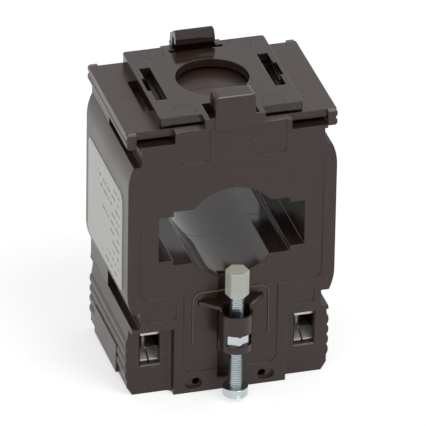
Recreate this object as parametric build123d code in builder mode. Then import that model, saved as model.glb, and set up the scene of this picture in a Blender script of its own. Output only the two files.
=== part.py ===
from build123d import *

import os
from math import hypot, sqrt

# Low-voltage current transformer: a moulded case in two shells round a stepped window, a wound
# ring core, two saddle-clamp terminals, a rail clip on top and a bar-locking screw in front.
# The origin is the centre of the base, +Z is up and the front face looks towards -Y.
# All sizes are in millimetres.

# Window for round cable and two sizes of flat bar
cable_bore = 26.9
wide_bar = 40.5
wide_bar_thickness = 13.5
narrow_bar = 32.4
narrow_bar_thickness = 16.6

# Ring core and the winding round it
core_build = 2.8
core_length = 32.8
winding_thickness = 0.8
ring_gap = 0.2

# Walls round the ring
sleeve_wall = 1.05
face_wall = 4.0
side_wall = 1.65
block_wall = 0.2
floor_wall = 0.8
roof_wall = 1.9

# Side grooves in the front half and the belly between them
groove_height = 5.0
groove_depth = 2.1
groove_length = 25.2
shoulder_lip = 1.2
roof_thickness = 0.9
belly_shoulder = 1.4
belly_shoulder_height = 6.4

# Top plate, its edge rails and the block that carries them
plate_overhang = 1.6
plate_setback = 2.3
plate_gap = 1.3
plate_thickness = 2.3
lip_drop = 0.3
lip_width = 32.2
rail_wall = 2.6
rail_gap = 0.3
rail_drop = 2.2
rail_overrun = 1.1
rail_flute = 0.5
rail_flute_height = 1.4
rail_edge = 0.5
pocket_width = 5.0
pocket_length = 17.0
pocket_margin = 1.5

# Terminal end of the case
terminal_flare = 0.6
terminal_recess = 2.8
terminal_side_wall = 2.5
recess_margin = 2.0
recess_fillet = 1.4
ledge_rise = 0.2
base_chamfer = 1.5
base_chamfer_height = 2.4
grip_count = 4
grip_pitch = 3.15
grip_height = 0.5
grip_drop = 3.3
pad_length = 22.0
pad_height = 8.5
pad_bottom = 2.1
pad_shift = 1.6
pad_rise = 0.1

# Terminal openings and chambers
entry_width = 5.4
entry_height = 10.0
entry_wall = 1.6
entry_bevel = 0.45
entry_sill = 0.6
chamber_width = 7.8
chamber_length = 10.0
chamber_floor = 6.6
chamber_headroom = 1.6
driver_hole = 5.8

# Saddle-clamp terminal
metal_fit = 0.3
bar_thickness = 1.6
saddle_thickness = 1.2
saddle_travel = 5.0
saddle_split = 0.4
ramp_length = 3.7
ramp_rise = 1.9
ramp_lip = 0.6
terminal_thread = 2.9
terminal_shank = 9.6
terminal_head = 5.2
terminal_head_height = 2.2
terminal_head_room = 0.6
terminal_screw_gap = 1.1
slot_width = 0.9
slot_depth = 1.1
relief_gap = 0.3
relief_depth = 0.8
running_gap = 0.06
lead_width = 1.4
lead_inset = 0.8
lead_setback = 7.0
lead_passage = 2.2
lead_gap = 0.05

# Marks moulded in the front face, measured from the centre of the window
mark_depth = 0.25
mark_corner = 1.1
field_top = 20.4
field_bottom = 17.8
field_corner = 2.6
tongue_width = 26.2
tongue_bottom = 42.2
primary_mark_width = 8.3
primary_mark_offset = 10.55
primary_mark_bottom = 22.5
secondary_mark_width = 8.3
secondary_mark_height = 5.3
secondary_mark_offset = 19.25
secondary_mark_drop = 22.55

# Pilot holes of the terminal cover
pilot_spacing = 18.4
pilot_height = 2.9
pilot_bore = 2.1
pilot_depth = 7.0
pilot_pocket_width = 4.8
pilot_pocket_height = 3.2
pilot_pocket_shift = 0.9
pilot_pocket_depth = 0.9

# Channel and bracket of the bar-locking screw
channel_width = 7.0
channel_depth = 2.6
channel_bottom = 3.8
channel_overrun = 1.0
channel_fit = 0.1
screw_reach = 5.6
bracket_radius = 4.4
bracket_drop = 21.4
bracket_height = 11.1
bracket_floor = 2.0
bracket_foot = 4.1
tip_gap = 0.45
shank_gap = 0.25
shelf_thickness = 1.1
shelf_width = 18.2
shelf_nose = 8.0
shelf_setback = 1.2
collar_setback = 0.6

# Bar-locking screw, its nut and insulating tip
thread = 3.9
shank_length = 28.4
nut_flats = 7.0
nut_height = 3.2
nut_fit = 0.15
nut_window = 6.9
head_width = 7.0
head_height = 2.6
head_chamfer = 0.4
driver_slot = 1.2
driver_slot_depth = 1.3
tip_width = 6.6
tip_height = 7.6
tip_drop = 16.1
tip_turn = 16.0
tip_edge = 0.25
tip_grip = 5.4

# Rail clip
rail_width = 35.0
rail_bite = 0.7
clip_width = 39.4
clip_depth = 38.0
clip_thickness = 2.4
clip_corner = 0.8
runner_height = 0.8
runner_width = 1.5
clip_opening = 19.8
clip_slot_width = 3.0
clip_slot_length = 18.1
clip_slot_offset = 16.4
clip_slot_step = 0.9
clip_slot_step_length = 7.0
flange_width = 16.6
flange_overhang = 1.0
flange_corner = 1.0
hook_width = 10.8
hook_spread = 0.6
hook_corner = 1.0
hook_gap = 1.2
hook_lead = 2.3
hook_slope = 1.2
hook_leg = 1.6
hook_wall = 2.5
front_hook_proud = 0.5
front_hook_height = 6.5
front_hook_edge = 0.4
front_hook_crown = 2.0
rear_hook_height = 5.2
rear_hook_back_run = 4.2
rear_hook_back_drop = 2.8
rear_hook_crown = 2.6
front_cutout_width = 13.8
front_cutout_reach = 3.1
front_cutout_wall = 0.7
rear_cutout_width = 14.8
rear_cutout_reach = 1.3
rear_cutout_length = 1.4

# Rating label
label_width = 34.8
label_height = 30.0
label_thickness = 0.15
label_corner = 2.4
label_drop = 3.0
label_shift = 1.5

# Reach of a cut past the surface it opens
overcut = 2.0

# Depths, all worked out from the ring
case_depth = core_length + 2 * (winding_thickness + ring_gap + face_wall)
front = -case_depth / 2
groove_end = front + groove_length
plate_depth = case_depth - 2 * plate_setback
terminal_front = front + terminal_recess
chamber_front = terminal_front + entry_wall
ramp_front = chamber_front + metal_fit
terminal_screw_y = ramp_front + ramp_length + terminal_screw_gap + terminal_thread / 2
screw_y = front - screw_reach

# Radii and widths
sleeve_radius = hypot(wide_bar / 2, wide_bar_thickness / 2) + sleeve_wall
cavity_radius = sleeve_radius + core_build + 2 * (winding_thickness + ring_gap)
belly_x = cavity_radius + side_wall
block_x = cavity_radius + block_wall
plate_width = 2 * (block_x + plate_overhang)
groove_x = block_x - groove_depth
terminal_x = block_x + terminal_flare
terminal_offset = terminal_x - terminal_side_wall - chamber_width / 2
recess_inner = terminal_offset - chamber_width / 2 - recess_margin

# Heights, from the base up
saddle_bottom = chamber_floor + terminal_head_room + terminal_head_height
entry_bottom = saddle_bottom - entry_sill
entry_top = entry_bottom + entry_height
bar_bottom = entry_top - bar_thickness
chamber_top = entry_top + chamber_headroom
terminal_top = chamber_top + ledge_rise
window_z = terminal_top + floor_wall + cavity_radius
lower_groove = terminal_top + shoulder_lip
belly_bottom = lower_groove + groove_height
roof_top = window_z + cavity_radius + roof_wall
upper_groove = roof_top - roof_thickness - groove_height
plate_bottom = roof_top + plate_gap
plate_top = plate_bottom + plate_thickness
lip_top = plate_top - lip_drop
clip_bottom = plate_top + runner_height
clip_top = clip_bottom + clip_thickness


def facing(y):
    """The plane at depth y whose sketches read as the front view."""
    return Plane.XZ.offset(-y)


# Side view of the belly, reused for the label that follows it

with BuildSketch() as belly_face:
    with BuildLine():
        for side in (1, -1):
            top_knee = upper_groove - belly_shoulder_height
            bottom_knee = belly_bottom + belly_shoulder_height
            TangentArc(
                (side * belly_x, top_knee),
                (side * (belly_x - belly_shoulder), upper_groove),
                tangent=(0, 1),
            )
            Line((side * belly_x, top_knee), (side * belly_x, bottom_knee))
            TangentArc(
                (side * belly_x, bottom_knee),
                (side * (belly_x - belly_shoulder), belly_bottom),
                tangent=(0, -1),
            )
        for level in (upper_groove, belly_bottom):
            Line((belly_x - belly_shoulder, level), (belly_shoulder - belly_x, level))
    make_face()

# Case as one body, later parted at mid-depth

with BuildPart() as case:
    # Core of the case, as wide as the floors of the side grooves
    with BuildSketch(facing(front)):
        with Locations((0, lower_groove)):
            Rectangle(2 * groove_x, roof_top - lower_groove, align=(Align.CENTER, Align.MIN))
    extrude(amount=-case_depth)
    # Belly beside the window, over the whole depth
    with BuildSketch(facing(front)):
        add(belly_face.sketch_local)
    extrude(amount=-case_depth)
    # Plain sides behind the grooves
    with BuildSketch(facing(groove_end)):
        with Locations((0, lower_groove)):
            Rectangle(2 * block_x, roof_top - lower_groove, align=(Align.CENTER, Align.MIN))
    extrude(amount=-(case_depth - groove_length))
    # Roof over the grooves
    with BuildSketch(facing(front)):
        with Locations((0, roof_top)):
            roof_width = plate_width - 2 * (rail_wall + rail_gap)
            Rectangle(roof_width, roof_thickness, align=(Align.CENTER, Align.MAX))
    extrude(amount=-case_depth)
    # Block that carries the top plate, its ends standing up as low lips
    with BuildSketch(facing(front)):
        with Locations((0, roof_top)):
            Rectangle(lip_width, lip_top - roof_top, align=(Align.CENTER, Align.MIN))
    extrude(amount=-case_depth)
    # Top plate
    with BuildSketch(Plane.XY.offset(plate_bottom)):
        Rectangle(plate_width, plate_depth)
    extrude(amount=plate_thickness)
    # Edge rails with a flute along the outside
    rail_bottom = plate_bottom - rail_drop
    rail_middle = (rail_bottom + plate_top) / 2
    rail_x = plate_width / 2
    rail_outline = [
        (rail_x - rail_wall, plate_top),
        (rail_x - rail_edge, plate_top),
        (rail_x, plate_top - rail_edge),
        (rail_x, rail_middle + rail_flute_height / 2),
        (rail_x - rail_flute, rail_middle),
        (rail_x, rail_middle - rail_flute_height / 2),
        (rail_x, rail_bottom + rail_edge),
        (rail_x - rail_edge, rail_bottom),
        (rail_x - rail_wall, rail_bottom),
    ]
    for side in (1, -1):
        with BuildSketch(facing(-plate_depth / 2 - rail_overrun)):
            with BuildLine():
                Polyline(*[(side * x, z) for x, z in rail_outline], close=True)
            make_face()
        extrude(amount=-(plate_depth + 2 * rail_overrun))
    # Terminal end: sloping shoulders, moulded finger grips and chamfered base
    grip_top = terminal_top - grip_drop
    grip_bottom = grip_top - grip_count * grip_pitch
    with BuildSketch(facing(front)):
        with BuildLine():
            for side in (1, -1):
                Line((side * block_x, lower_groove), (side * terminal_x, grip_top))
                for step in range(grip_count):
                    top = grip_top - step * grip_pitch
                    ThreePointArc(
                        (side * terminal_x, top),
                        (side * (terminal_x + grip_height), top - grip_pitch / 2),
                        (side * terminal_x, top - grip_pitch),
                    )
                Polyline(
                    (side * terminal_x, grip_bottom),
                    (side * terminal_x, base_chamfer_height),
                    (side * (terminal_x - base_chamfer), 0),
                )
            Line((block_x, lower_groove), (-block_x, lower_groove))
            Line((terminal_x - base_chamfer, 0), (base_chamfer - terminal_x, 0))
        make_face()
    extrude(amount=-case_depth)
    # Smooth pads over the grips
    with BuildSketch(Plane.XY.offset(pad_bottom)):
        with Locations((0, pad_shift)):
            Rectangle(2 * (terminal_x + grip_height + pad_rise), pad_length)
    extrude(amount=pad_height)

# Recesses that set both terminal faces back from the centre of the case, front and rear
with BuildPart() as terminal_recesses:
    with BuildSketch(facing(front - overcut)):
        with Locations((recess_inner, -overcut)):
            recess_size = (terminal_x - recess_inner + overcut, terminal_top + overcut)
            Rectangle(*recess_size, align=(Align.MIN, Align.MIN))
    extrude(amount=-(terminal_recess + overcut))
    inner_edges = terminal_recesses.edges().group_by(Axis.X)[0]
    fillet(inner_edges.group_by(Axis.Y)[-1], recess_fillet)
    mirror(about=Plane.YZ)
    mirror(about=Plane.XZ)

# Annular chamber for the ring core
with BuildPart() as ring_chamber:
    with BuildSketch(facing(front + face_wall)):
        with Locations((0, window_z)):
            Circle(cavity_radius)
            Circle(sleeve_radius, mode=Mode.SUBTRACT)
    extrude(amount=-(case_depth - 2 * face_wall))

# Chamber, entry, driver hole, relief hole and lead passage of the right-hand terminal
lead_x = terminal_offset - chamber_width / 2 + lead_inset
lead_y = chamber_front + lead_setback
with BuildPart() as terminal_chamber:
    with BuildSketch(Plane.XY.offset(chamber_floor)):
        with Locations((terminal_offset, chamber_front)):
            Rectangle(chamber_width, chamber_length, align=(Align.CENTER, Align.MIN))
    extrude(amount=chamber_top - chamber_floor)
    entry_middle = (entry_bottom + entry_top) / 2
    with BuildSketch(facing(terminal_front - overcut)):
        with Locations((terminal_offset, entry_middle)):
            Rectangle(entry_width, entry_height)
    extrude(amount=-(overcut + entry_wall))
    with BuildSketch(facing(terminal_front)):
        with Locations((terminal_offset, entry_middle)):
            Rectangle(entry_width + 2 * entry_bevel, entry_height + 2 * entry_bevel)
    with BuildSketch(facing(terminal_front + entry_bevel)):
        with Locations((terminal_offset, entry_middle)):
            Rectangle(entry_width, entry_height)
    loft()
    with BuildSketch(Plane.XY.offset(-overcut)):
        with Locations((terminal_offset, terminal_screw_y)):
            Circle(driver_hole / 2)
    extrude(amount=chamber_floor + overcut)
    relief_top = saddle_bottom + terminal_shank + saddle_travel + relief_depth
    with BuildSketch(Plane.XY.offset(chamber_top)):
        with Locations((terminal_offset, terminal_screw_y)):
            Circle(terminal_thread / 2 + relief_gap)
    extrude(amount=relief_top - chamber_top)
    passage_reach = lead_x + lead_passage / 2
    with BuildSketch(Plane.XY.offset(chamber_top)):
        with Locations((lead_x, lead_y)):
            Circle(lead_passage / 2)
    extrude(amount=window_z - sqrt(cavity_radius**2 - passage_reach**2) - chamber_top)

# Marks in the front face: a wide field with a tongue and four plain frames
with BuildPart() as front_marks:
    with BuildSketch(facing(front - overcut)):
        with Locations((0, window_z + (field_top - field_bottom) / 2)):
            RectangleRounded(2 * groove_x, field_top + field_bottom, field_corner)
        tongue_height = tongue_bottom - field_bottom + 2 * field_corner
        with Locations((0, window_z - tongue_bottom + tongue_height / 2)):
            RectangleRounded(tongue_width, tongue_height, field_corner)
        primary_mark_height = lip_top - window_z - primary_mark_bottom + overcut
        primary_mark_middle = window_z + primary_mark_bottom + primary_mark_height / 2
        for side in (1, -1):
            with Locations((side * primary_mark_offset, primary_mark_middle)):
                RectangleRounded(primary_mark_width, primary_mark_height, mark_corner)
            with Locations((side * secondary_mark_offset, window_z - secondary_mark_drop)):
                RectangleRounded(secondary_mark_width, secondary_mark_height, mark_corner)
    extrude(amount=-(overcut + mark_depth))

# Pilot holes for a terminal cover, each in a shallow pocket
with BuildPart() as pilot_holes:
    for side in (1, -1):
        with BuildSketch(facing(front - overcut)):
            with Locations((side * pilot_spacing / 2, pilot_height)):
                Circle(pilot_bore / 2)
        extrude(amount=-(overcut + pilot_depth))
        with BuildSketch(facing(front - overcut)):
            with Locations((side * (pilot_spacing / 2 + pilot_pocket_shift), pilot_height)):
                SlotOverall(pilot_pocket_width, pilot_pocket_height)
        extrude(amount=-(overcut + pilot_pocket_depth))

with BuildPart() as moulding:
    add(case.part)
    add(terminal_recesses.part, mode=Mode.SUBTRACT)
    add(ring_chamber.part, mode=Mode.SUBTRACT)
    add(terminal_chamber.part, mode=Mode.SUBTRACT)
    mirror(terminal_chamber.part, about=Plane.YZ, mode=Mode.SUBTRACT)
    add(front_marks.part, mode=Mode.SUBTRACT)
    add(pilot_holes.part, mode=Mode.SUBTRACT)
    # Window
    with BuildSketch(facing(front)):
        with Locations((0, window_z)):
            Circle(cable_bore / 2)
            Rectangle(wide_bar, wide_bar_thickness)
            Rectangle(narrow_bar, narrow_bar_thickness)
    extrude(amount=-case_depth, mode=Mode.SUBTRACT)
    # Channel for the bracket, from the window down to the base
    channel_top = window_z - cable_bore / 2 + channel_overrun
    with BuildSketch(facing(front)):
        with Locations((0, channel_bottom)):
            channel_size = (channel_width, channel_top - channel_bottom)
            Rectangle(*channel_size, align=(Align.CENTER, Align.MIN))
    extrude(amount=-channel_depth, mode=Mode.SUBTRACT)
    # Pockets in the top plate beside the rail clip
    for side, edge in ((1, Align.MAX), (-1, Align.MIN)):
        with BuildSketch(Plane.XY.offset(plate_bottom)):
            with Locations((side * (clip_width / 2 + pocket_margin), 0)):
                Rectangle(pocket_width, pocket_length, align=(edge, Align.CENTER))
        extrude(amount=plate_thickness, mode=Mode.SUBTRACT)

with BuildPart() as front_shell:
    add(moulding.part)
    split(bisect_by=Plane.XZ, keep=Keep.TOP)

with BuildPart() as rear_shell:
    add(moulding.part)
    split(bisect_by=Plane.XZ, keep=Keep.BOTTOM)

# Coated ring core and the secondary winding laid round it

winding_length = core_length + 2 * winding_thickness
winding_inner = sleeve_radius + ring_gap
winding_outer = cavity_radius - ring_gap

with BuildPart() as ring_core:
    with BuildSketch(facing(-core_length / 2)):
        with Locations((0, window_z)):
            Circle(winding_outer - winding_thickness)
            Circle(winding_inner + winding_thickness, mode=Mode.SUBTRACT)
    extrude(amount=-core_length)

with BuildPart() as secondary_winding:
    with BuildSketch(facing(-winding_length / 2)):
        with Locations((0, window_z)):
            Circle(winding_outer)
            Circle(winding_inner, mode=Mode.SUBTRACT)
    extrude(amount=-winding_length)
    add(ring_core.part, mode=Mode.SUBTRACT)

# Right-hand terminal; the left-hand one is its mirror image

with BuildPart() as terminal_bar_right:
    with BuildSketch(Plane.XY.offset(bar_bottom)):
        with Locations((terminal_offset, chamber_front)):
            Rectangle(chamber_width, chamber_length, align=(Align.CENTER, Align.MIN))
        with Locations((terminal_offset, terminal_screw_y)):
            Circle(terminal_thread / 2 + running_gap, mode=Mode.SUBTRACT)
    extrude(amount=bar_thickness)

with BuildPart() as terminal_saddle_right:
    saddle_top = saddle_bottom + saddle_thickness
    saddle_back = chamber_front + chamber_length - metal_fit
    saddle_width = chamber_width - 2 * metal_fit
    ramp_back = ramp_front + ramp_length
    with BuildSketch(Plane.YZ.offset(terminal_offset - saddle_width / 2)):
        with BuildLine():
            Polyline(
                (ramp_front, saddle_bottom - ramp_lip),
                (ramp_front, saddle_bottom),
                (ramp_back, saddle_bottom + ramp_rise),
                (ramp_back + ramp_lip, saddle_top),
                (saddle_back, saddle_top),
                (saddle_back, saddle_bottom),
                (ramp_back - ramp_lip, saddle_bottom),
                close=True,
            )
        make_face()
    extrude(amount=saddle_width)
    # Hole for the screw's shank and the split between the two wire ramps
    with BuildSketch(Plane.XY.offset(saddle_bottom - overcut)):
        with Locations((terminal_offset, terminal_screw_y)):
            Circle(terminal_thread / 2 + running_gap)
        with Locations((terminal_offset, ramp_back)):
            Rectangle(saddle_split, ramp_length + overcut, align=(Align.CENTER, Align.MAX))
    extrude(amount=ramp_rise + 2 * overcut, mode=Mode.SUBTRACT)

with BuildPart() as terminal_screw_right:
    with BuildSketch(Plane.XY.offset(saddle_bottom)):
        with Locations((terminal_offset, terminal_screw_y)):
            Circle(terminal_thread / 2)
    extrude(amount=terminal_shank)
    with BuildSketch(Plane.XY.offset(saddle_bottom)):
        with Locations((terminal_offset, terminal_screw_y)):
            Circle(terminal_head / 2)
    extrude(amount=-terminal_head_height)
    with BuildSketch(Plane.XY.offset(saddle_bottom - terminal_head_height)):
        with Locations((terminal_offset, terminal_screw_y)):
            Rectangle(slot_width, terminal_head + overcut)
    extrude(amount=slot_depth, mode=Mode.SUBTRACT)

with BuildPart() as secondary_lead_right:
    lead_reach = lead_x - lead_width / 2
    lead_top = window_z - sqrt(winding_outer**2 - lead_reach**2) - lead_gap
    with BuildSketch(Plane.XY.offset(entry_top)):
        with Locations((lead_x, lead_y)):
            Circle(lead_width / 2)
    extrude(amount=lead_top - entry_top)

with BuildPart() as terminal_bar_left:
    mirror(terminal_bar_right.part, about=Plane.YZ)

with BuildPart() as terminal_saddle_left:
    mirror(terminal_saddle_right.part, about=Plane.YZ)

with BuildPart() as terminal_screw_left:
    mirror(terminal_screw_right.part, about=Plane.YZ)

with BuildPart() as secondary_lead_left:
    mirror(secondary_lead_right.part, about=Plane.YZ)

# Bracket that carries the bar-locking screw in front of the window

bracket_top = window_z - bracket_drop
bracket_bottom = bracket_top - bracket_height
shelf_top = bracket_top + shelf_thickness
nut_pocket_bottom = bracket_bottom + bracket_floor
nut_pocket_top = nut_pocket_bottom + nut_height + 2 * nut_fit

with BuildPart() as clamp_bracket:
    foot_width = channel_width - 2 * channel_fit
    foot_bottom = bracket_bottom - bracket_foot
    # Foot in the channel
    with BuildSketch(Plane.XY.offset(foot_bottom)):
        with Locations((0, front)):
            Rectangle(foot_width, channel_depth, align=(Align.CENTER, Align.MIN))
    extrude(amount=shelf_top - foot_bottom)
    # Neck and round collar
    with BuildSketch(Plane.XY.offset(bracket_bottom)):
        with Locations((0, front)):
            Rectangle(foot_width, screw_reach, align=(Align.CENTER, Align.MAX))
        with Locations((0, screw_y)):
            Circle(bracket_radius)
    extrude(amount=bracket_height)
    # Shelf that spreads from the collar to the front face
    with BuildSketch(Plane.XY.offset(bracket_top)):
        with BuildLine():
            Polyline(
                (-shelf_width / 2, front),
                (shelf_width / 2, front),
                (shelf_nose / 2, screw_y + shelf_setback),
                (-shelf_nose / 2, screw_y + shelf_setback),
                close=True,
            )
        make_face()
        with Locations((0, screw_y)):
            Circle(bracket_radius)
        with Locations((0, screw_y + collar_setback)):
            front_half = (2 * (bracket_radius + overcut), bracket_radius + overcut)
            Rectangle(*front_half, align=(Align.CENTER, Align.MAX), mode=Mode.SUBTRACT)
    extrude(amount=shelf_thickness)
    # Bore for the tip and clearance hole for the screw
    with BuildSketch(Plane.XY.offset(nut_pocket_top)):
        with Locations((0, screw_y)):
            Circle(tip_width / 2 + tip_gap)
    extrude(amount=shelf_top - nut_pocket_top, mode=Mode.SUBTRACT)
    with BuildSketch(Plane.XY.offset(bracket_bottom)):
        with Locations((0, screw_y)):
            Circle(thread / 2 + shank_gap)
    extrude(amount=bracket_floor, mode=Mode.SUBTRACT)
    # Nut pocket, open to the front
    with BuildSketch(Plane.XY.offset(nut_pocket_bottom)):
        with Locations((0, screw_y)):
            RegularPolygon(nut_flats / 2 + nut_fit, 6, major_radius=False, rotation=30)
            window_size = (nut_window, bracket_radius + overcut)
            Rectangle(*window_size, align=(Align.CENTER, Align.MAX))
    extrude(amount=nut_pocket_top - nut_pocket_bottom, mode=Mode.SUBTRACT)

with BuildPart() as clamp_nut:
    with BuildSketch(Plane.XY.offset(nut_pocket_bottom)):
        with Locations((0, screw_y)):
            RegularPolygon(nut_flats / 2, 6, major_radius=False, rotation=30)
            Circle(thread / 2 + running_gap, mode=Mode.SUBTRACT)
    extrude(amount=nut_height)

tip_bottom = window_z - tip_drop
head_top = tip_bottom - shank_length
head_bottom = head_top - head_height

with BuildPart() as clamp_screw:
    with BuildSketch(Plane.XY.offset(head_bottom)):
        with Locations((0, screw_y)):
            Circle(head_width / 2)
    extrude(amount=head_height)
    chamfer(clamp_screw.faces().sort_by(Axis.Z)[0].edges(), head_chamfer)
    with BuildSketch(Plane.XY.offset(head_top)):
        with Locations((0, screw_y)):
            Circle(thread / 2)
    extrude(amount=shank_length + tip_grip)
    with BuildSketch(Plane.XY.offset(head_bottom)):
        with Locations((0, screw_y)):
            Rectangle(driver_slot, head_width + overcut)
    extrude(amount=driver_slot_depth, mode=Mode.SUBTRACT)

with BuildPart() as clamp_tip:
    # Hexagonal cap with eased ends
    with BuildSketch(Plane.XY.offset(tip_bottom)):
        with Locations((0, screw_y)):
            RegularPolygon(tip_width / 2, 6, rotation=-tip_turn)
    extrude(amount=tip_height)
    chamfer(clamp_tip.faces().sort_by(Axis.Z)[-1].edges(), tip_edge)
    chamfer(clamp_tip.faces().sort_by(Axis.Z)[0].edges(), tip_edge)
    # Blind hole for the end of the screw
    with BuildSketch(Plane.XY.offset(tip_bottom)):
        with Locations((0, screw_y)):
            Circle(thread / 2 + running_gap)
    extrude(amount=tip_grip + running_gap, mode=Mode.SUBTRACT)

# Hooks of the rail clip, both drawn at the rear: the tall front one, which is mirrored
# into place, and the lower rear one with its sloping back

flange_face = case_depth / 2 + flange_overhang
nose_y = rail_width / 2 - rail_bite
leg_bottom = clip_top + hook_gap
hook_base_width = hook_width + hook_spread
hooks = []

for face, height, back_run, back_drop, crown in (
    (
        flange_face + front_hook_proud,
        front_hook_height,
        front_hook_edge,
        front_hook_edge,
        front_hook_crown,
    ),
    (flange_face, rear_hook_height, rear_hook_back_run, rear_hook_back_drop, rear_hook_crown),
):
    hook_top = clip_top + height
    with BuildPart() as hook:
        # Side view: outer wall, crown with its lead-in, and the leg that holds the rail
        with BuildSketch(Plane.YZ.offset(-hook_base_width / 2)):
            with BuildLine():
                Polyline(
                    (face, plate_top),
                    (face, hook_top - back_drop),
                    (face - back_run, hook_top),
                    (nose_y + hook_slope, hook_top),
                    (nose_y, hook_top - hook_lead),
                    (nose_y, leg_bottom),
                    (nose_y + hook_leg, leg_bottom),
                    (nose_y + hook_leg, hook_top - crown),
                    (face - hook_wall, hook_top - crown),
                    (face - hook_wall, plate_top),
                    close=True,
                )
            make_face()
        extrude(amount=hook_base_width)
        # Front view: sides that draw in towards the rounded top
        with BuildSketch(facing(0)) as hook_outline:
            with BuildLine():
                Polyline(
                    (hook_base_width / 2, plate_top),
                    (hook_width / 2, hook_top),
                    (-hook_width / 2, hook_top),
                    (-hook_base_width / 2, plate_top),
                    close=True,
                )
            make_face()
            fillet(hook_outline.vertices().group_by(Axis.Y)[-1], hook_corner)
        extrude(amount=-face, mode=Mode.INTERSECT)
    hooks.append(hook.part)

front_hook, rear_hook = hooks

# Rail clip: a plate on two runners with a hook at each end

with BuildPart() as rail_clip:
    with BuildSketch(Plane.XY.offset(clip_bottom)):
        RectangleRounded(clip_width, clip_depth, clip_corner)
    extrude(amount=clip_thickness)
    with BuildSketch(Plane.XY.offset(plate_top)):
        with GridLocations(clip_width - runner_width, 0, 2, 1):
            Rectangle(runner_width, clip_depth - 2 * clip_corner)
    extrude(amount=runner_height)
    # Flanges that carry the hooks over both faces of the case
    for face in (-flange_face, clip_depth / 2):
        with BuildSketch(facing(face)) as flange_outline:
            with Locations((0, plate_top)):
                flange_size = (flange_width, clip_top - plate_top)
                Rectangle(*flange_size, align=(Align.CENTER, Align.MIN))
            fillet(flange_outline.vertices().group_by(Axis.Y)[0], flange_corner)
        extrude(amount=clip_depth / 2 - flange_face)
    # Cut-out that lets the front hook spring, and the slot at the rear one, which steps in
    # and runs back under the leg
    with BuildSketch(Plane.XY.offset(plate_top)):
        with Locations((0, front_cutout_reach - nose_y)):
            front_cutout_length = front_cutout_reach + flange_face - front_cutout_wall - nose_y
            front_cutout_size = (front_cutout_width, front_cutout_length)
            Rectangle(*front_cutout_size, align=(Align.CENTER, Align.MAX))
        with Locations((0, nose_y - rear_cutout_reach)):
            rear_cutout_size = (rear_cutout_width, rear_cutout_length)
            Rectangle(*rear_cutout_size, align=(Align.CENTER, Align.MIN))
        with Locations((0, nose_y)):
            rear_underside_size = (hook_base_width, flange_face - hook_wall - nose_y)
            Rectangle(*rear_underside_size, align=(Align.CENTER, Align.MIN))
    extrude(amount=clip_top - plate_top, mode=Mode.SUBTRACT)
    add(rear_hook)
    mirror(front_hook, about=Plane.XZ)
    # Round opening and the two stepped slots
    with BuildSketch(Plane.XY.offset(clip_bottom)):
        Circle(clip_opening / 2)
        for side in (1, -1):
            with Locations((side * clip_slot_offset, 0)):
                Rectangle(clip_slot_width, clip_slot_length)
            with Locations((side * (clip_slot_offset + clip_slot_step / 2), 0)):
                Rectangle(clip_slot_width + clip_slot_step, clip_slot_step_length)
    extrude(amount=clip_thickness, mode=Mode.SUBTRACT)

# Rating label on the left-hand side, bent round the belly's lower shoulder

with BuildPart() as rating_label:
    label_top = window_z - label_drop + label_height / 2
    with BuildSketch(facing(label_shift - label_width / 2)):
        add(belly_face.sketch_local)
        offset(amount=label_thickness)
        add(belly_face.sketch_local, mode=Mode.SUBTRACT)
        with Locations((0, label_top)):
            Rectangle(2 * belly_x, label_height, align=(Align.MAX, Align.MAX), mode=Mode.INTERSECT)
    extrude(amount=-label_width)
    with BuildSketch(Plane.YZ.offset(-belly_x - overcut)):
        with Locations((label_shift, label_top - label_height / 2)):
            RectangleRounded(label_width, label_height, label_corner)
    extrude(amount=belly_x, mode=Mode.INTERSECT)

os.makedirs("parts", exist_ok=True)

pieces = {
    "front_shell": front_shell,
    "rear_shell": rear_shell,
    "ring_core": ring_core,
    "secondary_winding": secondary_winding,
    "secondary_lead_left": secondary_lead_left,
    "secondary_lead_right": secondary_lead_right,
    "terminal_bar_left": terminal_bar_left,
    "terminal_bar_right": terminal_bar_right,
    "terminal_saddle_left": terminal_saddle_left,
    "terminal_saddle_right": terminal_saddle_right,
    "terminal_screw_left": terminal_screw_left,
    "terminal_screw_right": terminal_screw_right,
    "clamp_bracket": clamp_bracket,
    "clamp_nut": clamp_nut,
    "clamp_screw": clamp_screw,
    "clamp_tip": clamp_tip,
    "rail_clip": rail_clip,
    "rating_label": rating_label,
}
for name, piece in pieces.items():
    piece.part.label = name
    export_step(piece.part, f"parts/{name}.step")
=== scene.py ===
from math import ceil, cos, radians, sin, sqrt, tau

import bpy
from mathutils import Matrix, Vector


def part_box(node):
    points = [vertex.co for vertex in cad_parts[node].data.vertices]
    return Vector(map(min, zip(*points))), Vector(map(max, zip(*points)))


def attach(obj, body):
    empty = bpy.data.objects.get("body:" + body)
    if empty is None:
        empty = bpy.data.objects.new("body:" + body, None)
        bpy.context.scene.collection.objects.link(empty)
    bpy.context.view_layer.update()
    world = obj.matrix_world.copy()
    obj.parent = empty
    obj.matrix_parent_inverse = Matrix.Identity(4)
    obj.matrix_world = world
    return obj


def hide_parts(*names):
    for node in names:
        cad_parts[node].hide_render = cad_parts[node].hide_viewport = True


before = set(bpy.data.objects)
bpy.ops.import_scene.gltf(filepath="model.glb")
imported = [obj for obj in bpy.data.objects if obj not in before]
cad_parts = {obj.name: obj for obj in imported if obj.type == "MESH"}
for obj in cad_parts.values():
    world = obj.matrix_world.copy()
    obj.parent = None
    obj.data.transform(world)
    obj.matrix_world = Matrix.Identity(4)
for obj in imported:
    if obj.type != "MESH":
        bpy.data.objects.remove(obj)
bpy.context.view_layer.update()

bl_info = {
    "name": "Current transformer",
    "version": (1, 0, 0),
    "blender": (4, 5, 0),
    "location": "View3D > Sidebar > Transformer",
    "description": "Finishes, threads and studio for a window-type current transformer",
    "category": "Object",
}

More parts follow.
